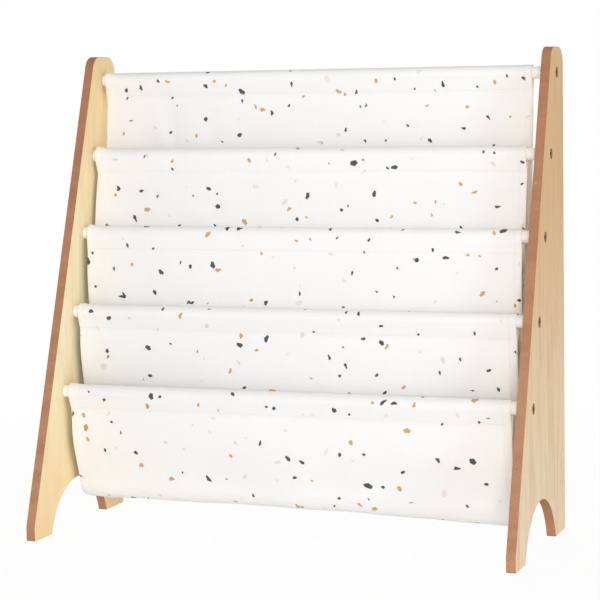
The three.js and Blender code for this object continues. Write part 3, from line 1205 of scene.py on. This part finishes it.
@dataclass
class ClothPiece:
    """One cut of cloth as a closed thin body over a grid of its middle surface: columns of rows."""

    name: str
    middle: np.ndarray
    half_thickness: np.ndarray
    place_on_roll: Point = (0.0, 0.0)

    def __post_init__(self) -> None:
        """Works out the way out of the cloth's face at each point, and how far down the cut each row is."""
        out = np.cross(np.gradient(self.middle, axis=0), np.gradient(self.middle, axis=1))
        self.out = out / np.linalg.norm(out, axis=2)[:, :, None]
        steps = np.linalg.norm(np.diff(self.middle, axis=1), axis=2).mean(0)
        self.lengths = np.concatenate([[0.0], np.cumsum(steps)])

    def surface(self, column: Union[int, slice], row: Union[int, slice], face: int) -> np.ndarray:
        """Points on one of the cloth's surfaces.

        Args:
            column: Which columns of the grid.
            row: Which rows of the grid.
            face: 1 for the printed face and -1 for the reverse.

        Returns:
            The points.
        """
        thickness = np.broadcast_to(self.half_thickness[:, None], self.middle.shape[:2])
        offset = self.out[column, row] * thickness[column, row][..., None]
        return self.middle[column, row] + face * offset

    def rim(self, border: np.ndarray) -> np.ndarray:
        """Points that round the cloth's cut edge.

        Args:
            border: The numbers of the grid's points along its border, in order.

        Returns:
            A point beside each of them.
        """
        outward = np.zeros(self.middle.shape)
        outward[0] -= self.middle[1] - self.middle[0]
        outward[-1] += self.middle[-1] - self.middle[-2]
        outward[:, 0] -= self.middle[:, 1] - self.middle[:, 0]
        outward[:, -1] += self.middle[:, -1] - self.middle[:, -2]
        outward = outward.reshape(-1, 3)[border]
        outward /= np.linalg.norm(outward, axis=1)[:, None]
        thickness = np.repeat(self.half_thickness, self.middle.shape[1])[border]
        return self.middle.reshape(-1, 3)[border] + outward * thickness[:, None]

    def mesh(self) -> bpy.types.Mesh:
        """Makes the closed mesh, with the reverse in the second slot and the cut's own coordinates.

        Returns:
            The mesh.
        """
        columns, rows = self.middle.shape[:2]
        count = columns * rows
        number = np.arange(count).reshape(columns, rows)
        low, high = number[:-1, :-1].ravel(), number[1:, 1:].ravel()
        side, ahead = number[1:, :-1].ravel(), number[:-1, 1:].ravel()
        border = np.concatenate([number[:-1, 0], number[-1, :-1], number[:0:-1, -1], number[0, :0:-1]])
        rim = 2 * count + np.arange(len(border))
        onward, rim_onward = np.roll(border, -1), np.roll(rim, -1)
        front_faces = np.stack([low, side, high, ahead], 1)
        back_faces = np.stack([low, ahead, high, side], 1) + count
        rim_faces = [
            np.stack([border, rim, rim_onward, onward], 1),
            np.stack([rim, border + count, onward + count, rim_onward], 1),
        ]
        everything = slice(None)
        sheets = [self.surface(everything, everything, face).reshape(-1, 3) for face in (1, -1)]
        faces = np.concatenate([front_faces, back_faces, *rim_faces])
        mesh = mesh_from(self.name, np.concatenate([*sheets, self.rim(border)]), faces.tolist())
        slots = np.zeros(len(faces), np.int32)
        slots[len(front_faces):len(front_faces) + len(back_faces)] = 1
        mesh.polygons.foreach_set("material_index", slots)

        across = np.repeat(self.middle[:, :, 0].mean(1) - self.middle[0, :, 0].mean(), rows)
        flat = np.stack([across, np.tile(self.lengths, columns)], 1) + np.array(self.place_on_roll)
        flat = np.concatenate([flat, flat, flat[border]])
        corners = np.zeros(len(mesh.loops), np.int32)
        mesh.loops.foreach_get("vertex_index", corners)
        cut_map = mesh.uv_layers.new(name=CUT_MAP)
        cut_map.data.foreach_set("uv", flat[corners].astype(np.float32).ravel())
        return mesh


@dataclass(frozen=True)
class Crumple:
    """One scale of unevenness in cloth: its waves to the metre along each axis, its height and its slant."""

    waves: Triple
    height: float
    slant: float = 0.0

    def at(self, place: np.ndarray, seed: Vector) -> float:
        """Its height at a place."""
        x, y, z = place * self.waves
        return noise.noise(Vector((x + self.slant * place[2], y, z)) + seed) * self.height


@dataclass(frozen=True)
class Ripples:
    """Slanting ripples in a band below a rod.

    Each patch has its middle, its reach and its share of the height, and each wave its length, its slant,
    its shift and its share.
    """

    drop: float = 75 * MM
    reach: float = 38 * MM
    height: float = 0.7 * MM
    start_row: int = 46
    patches: Tuple[Triple, ...] = ((-205 * MM, 75 * MM, 1.0), (235 * MM, 45 * MM, 0.5))
    waves: Tuple[Tuple[float, ...], ...] = ((46 * MM, 0.35, 0.0, 1.0), (27 * MM, 0.2, 1.0, 0.5))

    def over(self, x: np.ndarray, below: np.ndarray) -> np.ndarray:
        """How far the ripples move the cloth.

        Args:
            x: Each point's place along the width.
            below: How far it is below the rod.

        Returns:
            The way that each point moves.
        """
        band = np.exp(-(((below - self.drop) / self.reach) ** 2))
        patch = sum(share * np.exp(-(((x - middle) / reach) ** 2)) for middle, reach, share in self.patches)
        wave = sum(
            share * np.sin(TURN * (x - slant * below) / length + shift)
            for length, slant, shift, share in self.waves
        )
        return self.height * wave * band * patch


@dataclass
class PocketFront:
    """One pocket's front: its offsets from its rod's axis, and its slack at the middle and at the ends."""

    word: str
    rod: Rod
    seam_forward: float
    belly: float
    belly_drop: float
    slack: float
    end_slack: float
    shift: float


@dataclass
class Sling:
    """The cloth sling: one long sheet from the top rod round the fold to the front rod, and three pockets."""

    rods: Sequence[Rod]
    printed: bpy.types.Material
    reverse: bpy.types.Material
    thread: bpy.types.Material
    width: float = 572.4 * MM
    cloth: float = 0.95 * MM
    hem: float = 9 * MM
    hem_layers: float = 1.7
    hem_clear: float = 3 * MM
    edge_places: Tuple[float, ...] = (0.0, 1.2 * MM, 4 * MM, 8.5 * MM, 9.3 * MM)
    column_step: float = 4 * MM
    ease: float = 0.6 * MM
    leg_share: float = 0.55
    clear_share: float = 1.25
    sleeve_drop: float = 23 * MM
    sleeve_rows: int = 30
    leg_rows: int = 6
    tail: float = 9 * MM
    tail_rows: int = 3
    flares: Tuple[float, ...] = (1.2 * MM, 2.6 * MM, 1.2 * MM, 0.8 * MM, 0.8 * MM)
    flare_reach: float = 9 * MM
    pocket_depth: float = 160 * MM
    pocket_rows: int = 56
    seam_allowance: float = 12 * MM
    seam_lead_in: float = 28 * MM
    seam_lift: float = 14 * MM
    foot_lift: float = 0.5 * MM
    swell_share: float = 0.2
    main_rows: int = 190
    top_shift: float = -7 * MM
    front_shift: float = -2.5 * MM
    lean_drop: float = 86 * MM
    lean: float = 6 * MM
    fold_height: float = 33.6 * MM
    fold_width: float = 48 * MM
    fold_from_back: float = 123 * MM
    fold_shoulder: float = 28 * MM
    fold_fall: float = 9.5 * MM
    fold_turn_up: float = 2 * MM
    turn_up_reach: float = 6 * MM
    fold_steps: int = 6
    front_seam_back: float = 2 * MM
    front_curve_drop: float = 60 * MM
    front_curve_back: float = 4 * MM
    main_soften: int = 14
    pocket_soften: int = 12
    foot_rows: int = 8
    sewn_rows: int = 3
    fold_row: int = 20
    pucker_reach: float = 7 * MM
    least_pucker: float = 0.02
    swell: Crumple = Crumple((9.0, 9.0, 11.0), height=1.5 * MM)
    crease: Crumple = Crumple((26.0, 12.0, 7.0), height=0.7 * MM, slant=8.0)
    gather: Crumple = Crumple((110.0, 20.0, 20.0), height=0.45 * MM)
    seed: Triple = (3.7, 1.3, 8.1)
    ripples: Ripples = Ripples()
    roll_start: Point = (0.0, 1.7)
    roll_step: Point = (0.31, 0.37)
    sewing: Sewing = Sewing()

    def __post_init__(self) -> None:
        """Works out the places that the sheets share."""
        self.top, self.front = self.rods[0], self.rods[-1]
        self.fold_y = cad_bounds[1].y - self.fold_from_back
        self.shoulder = self.fold_height + self.fold_shoulder
        self.lean_top = (self.top.axis[0] - self.lean, self.top.axis[1] - self.lean_drop)
        self.lean_foot = (self.fold_y + self.fold_width / 2, self.shoulder)
        self.leg = self.cloth * self.leg_share
        self.sleeve_count = self.sleeve_rows + 1 + 2 * self.leg_rows + self.tail_rows
        self.places, self.half_thickness = self.columns()
        self.pockets = [
            PocketFront(
                "upper", self.rods[1], seam_forward=1 * MM, belly=11.5 * MM, belly_drop=80 * MM,
                slack=13 * MM, end_slack=9 * MM, shift=-6 * MM,
            ),
            PocketFront(
                "middle", self.rods[2], seam_forward=7 * MM, belly=10 * MM, belly_drop=60 * MM,
                slack=28 * MM, end_slack=15 * MM, shift=-4 * MM,
            ),
            PocketFront(
                "lower", self.rods[3], seam_forward=1 * MM, belly=1.5 * MM, belly_drop=50 * MM,
                slack=35 * MM, end_slack=17 * MM, shift=-3.5 * MM,
            ),
        ]

    def in_front(self, z: float, lift: float) -> Point:
        """The place at a height that is lifted to the front of the main sheet's straight stretch."""
        share = (self.lean_top[1] - z) / (self.lean_top[1] - self.lean_foot[1])
        return (self.lean_top[0] + share * (self.lean_foot[0] - self.lean_top[0]) - lift, z)

    def sleeve(self, rod: Rod, seam: Point, x: float) -> np.ndarray:
        """The cloth round a rod, from its seam's front over the rod to its seam's back and the hem's end.

        Args:
            rod: The rod.
            seam: The middle of the seam below it.
            x: The place along the width, near whose left end the sleeve stands off the rod.

        Returns:
            The points of the middle surface.
        """
        flare = self.flares[rod.number - 1] * math.exp(-(((x + self.width / 2) / self.flare_reach) ** 2))
        radius = rod.radius + self.ease + self.cloth / 2 + flare / 2
        centre = np.array(rod.axis) + [0.0, flare / 2]
        front, back = (np.array([seam[0] + way * self.leg, seam[1]]) for way in (-1, 1))
        angles = []
        for point, way in ((front, -1), (back, 1)):
            leg = point - centre
            angles.append(math.atan2(leg[1], leg[0]) + way * math.acos(radius / np.linalg.norm(leg)))
        start, end = angles[0] + TURN, angles[1]
        round_it = arc(tuple(centre), radius, start, end - start, self.sleeve_rows)
        up = in_equal_steps(np.array([front, round_it[0]]), self.leg_rows + 1)[:-1]
        down = in_equal_steps(np.array([round_it[-1], back]), self.leg_rows + 1)[1:]
        tail = in_equal_steps(np.array([back, back - [0.0, self.tail]]), self.tail_rows + 1)[1:]
        return np.vstack([up, round_it, down, tail])

    def fold(self, x: float) -> List[Point]:
        """The fold under the last pocket: half an ellipse, lower to the right and turned up at its left end.

        Args:
            x: The place along the width.

        Returns:
            The fold's points, from its back shoulder to its front one.
        """
        share = min(max(x / self.width + 0.5, 0.0), 1.0)
        turn_up = self.fold_turn_up * math.exp(-share * self.width / self.turn_up_reach)
        depth = self.shoulder - (self.fold_height - self.fold_fall * share**3 + turn_up)
        angles = [math.pi * k / self.fold_steps for k in range(self.fold_steps + 1)]
        half = self.fold_width / 2
        return [(self.fold_y + half * math.cos(a), self.shoulder - depth * math.sin(a)) for a in angles]

    def main_profile(self, x: float) -> np.ndarray:
        """The main sheet across the width at a place.

        Args:
            x: The place along the width.

        Returns:
            The points from the hem behind the top rod to the front rod's hem.
        """
        top_seam = (self.top.axis[0], self.top.axis[1] - self.sleeve_drop)
        front_seam = (self.front.axis[0] + self.front_seam_back, self.front.axis[1] - self.sleeve_drop)
        feet = [pocket.rod.axis[1] - self.pocket_depth for pocket in self.pockets]
        knots = [
            (top_seam[0] - self.leg, top_seam[1]),
            self.lean_top,
            self.in_front(feet[0] + self.seam_allowance + self.seam_lead_in, 0.0),
            *[self.in_front(foot, 0.0) for foot in feet],
            *self.fold(x),
            (self.front.axis[0] + self.front_curve_back, self.front.axis[1] - self.front_curve_drop),
            (front_seam[0] - self.leg, front_seam[1]),
        ]
        start = self.sleeve(self.top, top_seam, x)[::-1]
        end = self.sleeve(self.front, front_seam, x)
        return np.vstack([start[:-1], smooth_curve(knots, self.main_rows), end[1:]])

    def pocket_profile(self, pocket: PocketFront, x: float) -> np.ndarray:
        """A pocket's front across the width at a place.

        Args:
            pocket: The pocket.
            x: The place along the width.

        Returns:
            The points from its foot on the main sheet to its sleeve's hem.
        """
        axis = pocket.rod.axis
        seam = (axis[0] - pocket.seam_forward, axis[1] - self.sleeve_drop)
        foot = axis[1] - self.pocket_depth
        clear = self.cloth * self.clear_share
        wave = math.cos(math.pi * x / self.width)
        slack = pocket.end_slack + (pocket.slack - pocket.end_slack) * math.sqrt(max(0.0, wave))
        lead_in = foot + self.seam_allowance + self.seam_lead_in
        knots = [
            self.in_front(foot, clear),
            self.in_front(foot + self.seam_allowance, clear + self.foot_lift),
            self.in_front(lead_in, clear + self.seam_lift + slack),
            (axis[0] - pocket.belly * (1 + self.swell_share * wave), axis[1] - pocket.belly_drop),
            (seam[0] - self.leg, seam[1]),
        ]
        return np.vstack([smooth_curve(knots, self.pocket_rows), self.sleeve(pocket.rod, seam, x)[1:]])

    def columns(self) -> Tuple[np.ndarray, np.ndarray]:
        """The grid's places across the cut.

        Returns:
            The places, from the cut's left edge, and the cloth's half thickness at each.
        """
        first, last = self.hem + self.hem_clear, self.width - self.hem - self.hem_clear
        inner = np.linspace(first, last, round(self.width / self.column_step))
        right = [self.width - place for place in reversed(self.edge_places)]
        places = np.concatenate([self.edge_places, inner, right])
        from_edge = np.minimum(places, self.width - places)
        layers = np.where(from_edge < self.hem, self.hem_layers, 1.0)
        return places, layers * self.cloth / 2

    def grid(self, profile: Callable[[float], np.ndarray], start: float, end: float) -> np.ndarray:
        """The middle surface of a sheet.

        Args:
            profile: The sheet across the width at a place.
            start: How far the sheet's first row is moved along X.
            end: How far its last row is moved.

        Returns:
            The grid of points.
        """
        places = self.places - self.width / 2
        lines = np.array([profile(place) for place in places])
        shift = np.linspace(start, end, lines.shape[1])
        return np.dstack([places[:, None] + shift[None, :], lines])

    def rippled(self, middle: np.ndarray) -> np.ndarray:
        """Adds the slanting ripples to the first tier.

        Args:
            middle: The grid of the main sheet.

        Returns:
            The new grid.
        """
        x, y, z = (middle[:, :, k] for k in range(3))
        behind = (y > self.fold_y) & (np.arange(middle.shape[1]) > self.ripples.start_row)
        ripples = self.ripples.over(x, self.top.axis[1] - z) * behind
        return np.dstack([x, y + ripples, z])

    def worried(self, middle: np.ndarray, freedom: np.ndarray, seams: Sequence[int]) -> np.ndarray:
        """Adds the cloth's slight swells, and its puckers beside seams.

        Args:
            middle: The grid of the middle surface.
            freedom: How free the cloth is at each row, from 0 to 1.
            seams: The rows that are sewn.

        Returns:
            The new grid.
        """
        piece = ClothPiece("smooth", middle, np.zeros(len(middle)))
        from_seam = np.min([np.abs(piece.lengths - piece.lengths[row]) for row in seams], axis=0)
        pucker = np.exp(-((from_seam / self.pucker_reach) ** 2))
        seeds = [k * Vector(self.seed) for k in (1, 2, 3)]
        crumples = list(zip((self.swell, self.crease, self.gather), seeds))
        moved = middle.copy()
        for j in np.flatnonzero((freedom > 0) | (pucker >= self.least_pucker)):
            for i, place in enumerate(middle[:, j]):
                swell, crease, gather = (crumple.at(place, seed) for crumple, seed in crumples)
                moved[i, j] += piece.out[i, j] * (freedom[j] * (swell + crease) + pucker[j] * gather)
        return moved

    def freedom(self, count: int, tied: Sequence[Tuple[int, int]], soften: int) -> np.ndarray:
        """How free each row is: 0 on tied rows, rising to 1 away from them.

        Args:
            count: How many rows there are.
            tied: The first and last row of each tied stretch.
            soften: How many rows the rise takes.

        Returns:
            The freedom of each row.
        """
        rows = np.arange(count)
        away = np.min([np.maximum(np.maximum(first - rows, rows - last), 0) for first, last in tied], axis=0)
        rise = np.clip(away / soften, 0.0, 1.0)
        return rise * rise * (3 - 2 * rise)

    def sewn(self, piece: ClothPiece, name: str, seams: Sequence[int]) -> bpy.types.Object:
        """Sews a sheet's seams and its side hems, on both faces.

        Args:
            piece: The sheet.
            name: The stitching's name.
            seams: The rows that are sewn across the width.

        Returns:
            The stitching as one piece.
        """
        left = int(np.searchsorted(self.places, self.hem - self.hem_clear))
        everything = slice(None)
        lines = [(everything, row) for row in seams]
        lines += [(left, everything), (len(self.places) - 1 - left, everything)]
        corners, faces = [], []
        for face in (1, -1):
            for column, row in lines:
                line = piece.surface(column, row, face)
                points, quads = self.sewing.stitches(line, face * piece.out[column, row])
                faces.extend(tuple(i + len(corners) for i in quad) for quad in quads)
                corners.extend(points)
        mesh = mesh_from(name, np.array(corners), faces)
        mesh.flip_normals()
        return make_piece(mesh, [self.thread], "sling_cloth")

    def hang(
        self,
        cloth: ClothPiece,
        names: Tuple[str, str],
        reverse: bpy.types.Material,
        stitched: Sequence[int],
    ) -> List[bpy.types.Object]:
        """Makes a sheet and its stitching.

        Args:
            cloth: The sheet.
            names: The stitching's name, and the solid that the sheet stands for.
            reverse: The material of its reverse.
            stitched: The rows that are sewn across the width.

        Returns:
            The sheet and its stitching.
        """
        stitching_name, node = names
        sheet = make_piece(cloth.mesh(), [self.printed, reverse], "sling_cloth", node)
        stitching = self.sewn(cloth, stitching_name, stitched)
        return [sheet, stitching]

    def main_sheet(self) -> List[bpy.types.Object]:
        """Makes the long sheet, printed on both faces.

        Returns:
            The sheet and its stitching.
        """
        middle = self.grid(self.main_profile, self.top_shift, self.front_shift)
        rows = middle.shape[1]
        top_seam, front_seam = self.sleeve_count - 1, rows - self.sleeve_count
        heights = middle[0, top_seam:rows // 2 + self.fold_row, 2]
        sewn_feet = []
        for pocket in self.pockets:
            foot = pocket.rod.axis[1] - self.pocket_depth + self.seam_allowance / 2
            sewn_feet.append(top_seam + int(np.argmin(np.abs(heights - foot))))
        tied = [(0, top_seam), (front_seam, rows - 1)]
        tied += [(row - self.sewn_rows, row + self.sewn_rows) for row in sewn_feet]
        freedom = self.freedom(rows, tied, self.main_soften)
        middle = self.worried(self.rippled(middle), freedom, [top_seam, front_seam])
        cloth = ClothPiece("main_sheet_cloth", middle, self.half_thickness)
        names = ("main_sheet_stitching", "sling_main_sheet")
        stitched = [top_seam - 1, front_seam + 1, *sewn_feet]
        return self.hang(cloth, names, self.printed, stitched)

    def pocket(self, number: int, pocket: PocketFront) -> List[bpy.types.Object]:
        """Makes one pocket's front.

        Args:
            number: Its number from the top, which sets where on the roll it is cut.
            pocket: Its sizes.

        Returns:
            The sheet and its stitching.
        """
        middle = self.grid(lambda x: self.pocket_profile(pocket, x), pocket.shift, pocket.shift)
        rows = middle.shape[1]
        seam = rows - self.sleeve_count
        freedom = self.freedom(rows, [(0, self.foot_rows), (seam, rows - 1)], self.pocket_soften)
        place = tuple(start + step * number for start, step in zip(self.roll_start, self.roll_step))
        middle = self.worried(middle, freedom, [seam])
        cloth = ClothPiece(f"pocket_cloth_{pocket.word}", middle, self.half_thickness, place)
        names = (f"pocket_stitching_{pocket.word}", f"pocket_front_{pocket.word}")
        return self.hang(cloth, names, self.reverse, [seam + 1])

    def build(self) -> List[bpy.types.Object]:
        """Makes the whole sling.

        Returns:
            The sheets and their stitching.
        """
        made = self.main_sheet()
        for number, pocket in enumerate(self.pockets, 1):
            made += self.pocket(number, pocket)
        return made


# Studio


@dataclass(frozen=True)
class Lamp:
    """One large soft lamp, with its watts and the side of its square, aimed at the shelf's middle."""

    name: str
    place: Triple
    power: float
    size: float
    aim: Triple = (0.0, 0.0, 0.3)

    def build(self) -> None:
        """Adds the lamp to the scene."""
        light = bpy.data.lights.new(self.name, "AREA")
        light.energy = self.power
        light.size = self.size
        lamp = place_object(self.name, light)
        lamp.location = self.place
        ahead = Vector(self.aim) - Vector(self.place)
        lamp.rotation_euler = ahead.to_track_quat("-Z", "Y").to_euler()


@dataclass(frozen=True)
class Studio:
    """The floor, the light and the camera, which stands where the photograph was taken from."""

    lens: float = 121.0
    sensor_width: float = 36.0
    camera_place: Triple = (0.8487, -2.3310, 0.5333)
    camera_yaw: float = 19.822
    camera_pitch: float = 3.826
    camera_roll: float = -0.801
    camera_shift: float = -0.1
    farthest: float = 200.0
    white: Colour = (1.0, 1.0, 1.0)
    sky_strength: float = 0.44
    floor_size: float = 60.0
    floor_colour: Colour = painted(250, 250, 250)
    floor_roughness: float = 0.9
    floor_glow: float = 0.93
    plain_floor: Tuple[float, float] = (0.45, 1.4)
    lamps: Tuple[Lamp, ...] = (
        Lamp("front_lamp", (1.25, -3.15, 0.85), power=47.0, size=1.0),
        Lamp("right_lamp", (3.4, -1.7, 0.9), power=19.0, size=1.0),
        Lamp("back_lamp", (-0.8, 3.4, 0.9), power=45.0, size=1.6),
        Lamp("left_lamp", (-3.4, -0.2, 0.9), power=30.0, size=1.6),
    )

    def backed(self, s: Shading, seen_kind: str, seen_share: Value) -> None:
        """Lets a surface be lit by its own shader, yet be seen white, directly, mirrored or through glass.

        Args:
            s: The surface's node tree.
            seen_kind: The type of the white shader.
            seen_share: How much of the white is seen.
        """
        path = s.node("ShaderNodeLightPath")
        names = ("Is Camera Ray", "Is Glossy Ray", "Is Transmission Ray")
        camera, glossy, through = (Socket(s, path.outputs[name]) for name in names)
        is_seen = (camera + glossy + through) > 0.5
        white = s.one(seen_kind, None, {"Color": self.white, "Strength": 1.0})
        sockets = {0: is_seen * seen_share, 1: Socket(s, s.shader.outputs[0]), 2: white}
        s.feed(s.output.inputs["Surface"], s.one("ShaderNodeMixShader", None, sockets))

    def floor(self) -> None:
        """Makes the floor, which keeps the shelf's soft shadow near it."""
        half = self.floor_size / 2
        corners = np.array([(-half, -half, 0.0), (half, -half, 0.0), (half, half, 0.0), (-half, half, 0.0)])
        mesh = mesh_from("studio_floor", corners, [(0, 1, 2, 3)])
        s = Shading(bpy.data.materials.new(mesh.name))
        x, y, _ = s.parts(s.place())
        away = ((x * x + y * y) ** 0.5).step(*self.plain_floor)
        self.backed(s, "ShaderNodeEmission", away * (1 - self.floor_glow) + self.floor_glow)
        mesh.materials.append(s.dress(Base_Color=self.floor_colour, Roughness=self.floor_roughness))
        place_object(mesh.name, mesh)

    def sky(self) -> None:
        """Makes the white surroundings, dimmer as a light than as a background."""
        s = Shading(bpy.data.worlds.new("studio"))
        self.backed(s, "ShaderNodeBackground", 1.0)
        bpy.context.scene.world = s.dress(Color=self.white, Strength=self.sky_strength)

    def camera(self) -> None:
        """Makes the camera."""
        data = bpy.data.cameras.new("studio_camera")
        data.lens = self.lens
        data.sensor_width = self.sensor_width
        data.shift_y = self.camera_shift
        data.clip_end = self.farthest
        camera = place_object(data.name, data)
        yaw, pitch, roll = (math.radians(a) for a in (self.camera_yaw, self.camera_pitch, self.camera_roll))
        ahead = Vector((-math.sin(yaw) * math.cos(pitch), math.cos(yaw) * math.cos(pitch), -math.sin(pitch)))
        right = ahead.cross(Vector((0.0, 0.0, 1.0))).normalized()
        up = right.cross(ahead)
        tilted = math.cos(roll) * right + math.sin(roll) * up
        head = math.cos(roll) * up - math.sin(roll) * right
        turn = Matrix((tilted, head, -ahead)).transposed().to_4x4()
        camera.matrix_world = Matrix.Translation(self.camera_place) @ turn
        bpy.context.scene.camera = camera

    def build(self) -> None:
        """Makes the whole studio."""
        self.floor()
        self.sky()
        for lamp in self.lamps:
            lamp.build()
        self.camera()
        bpy.context.scene.view_settings.view_transform = "Standard"


def main() -> None:
    """Builds the shelf piece by piece, then the studio."""
    logging.basicConfig(level=logging.INFO, format="%(name)s: %(message)s")
    rods = [Rod(number) for number in range(1, ROD_COUNT + 1)]
    # The two boards are lit and shaded copies of one material: the left board's colours are painted lighter
    # and yellower as painted light bounced off the cloth, the right board's darker.
    boards = {
        Side.LEFT: BoardFinish(
            "left_board",
            pale=painted(255, 242, 202),
            shaded_face=painted(248, 219, 166),
            vein=painted(238, 200, 138),
            lit_height_share=0.45,
            shade_reach_share=0.5,
        ),
        Side.RIGHT: BoardFinish(
            "right_board",
            pale=painted(252, 228, 194),
            shaded_face=painted(227, 187, 133),
            vein=painted(211, 163, 108),
            lit_height_share=0.05,
            shade_reach_share=0.75,
        ),
    }
    made = [SideBoard(side, rods, finish).build() for side, finish in boards.items()]

    lacquer = LacquerFinish().material()
    bronze = MetalFinish(
        "bronzed_bolt", colour=painted(120, 92, 66), dull=painted(78, 58, 42), roughness=0.34
    ).material()
    brass = MetalFinish(
        "brass_insert", colour=painted(200, 164, 96), dull=painted(160, 124, 66), roughness=0.3
    ).material()
    for rod in rods:
        made.append(LacqueredRod(rod, lacquer).build())
        for side in Side:
            made.append(SocketBolt(side, rod, bronze).build())
            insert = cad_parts[f"{side.word}_insert_{rod.number}"]
            insert.data.materials.clear()
            insert.data.materials.append(brass)
            made.append(insert)

    printed = ClothFinish("printed_canvas", print_strength=1.0).material()
    reverse = ClothFinish("canvas_reverse", print_strength=0.22).material()
    made += Sling(rods, printed, reverse, ThreadFinish().material()).build()
    for piece in made:
        LOG.info("%s: %d faces", piece.name, len(piece.data.polygons))

    Studio().build()
    LOG.info("studio ready")
    bpy.context.view_layer.update()


if __name__ == "__main__":
    main()
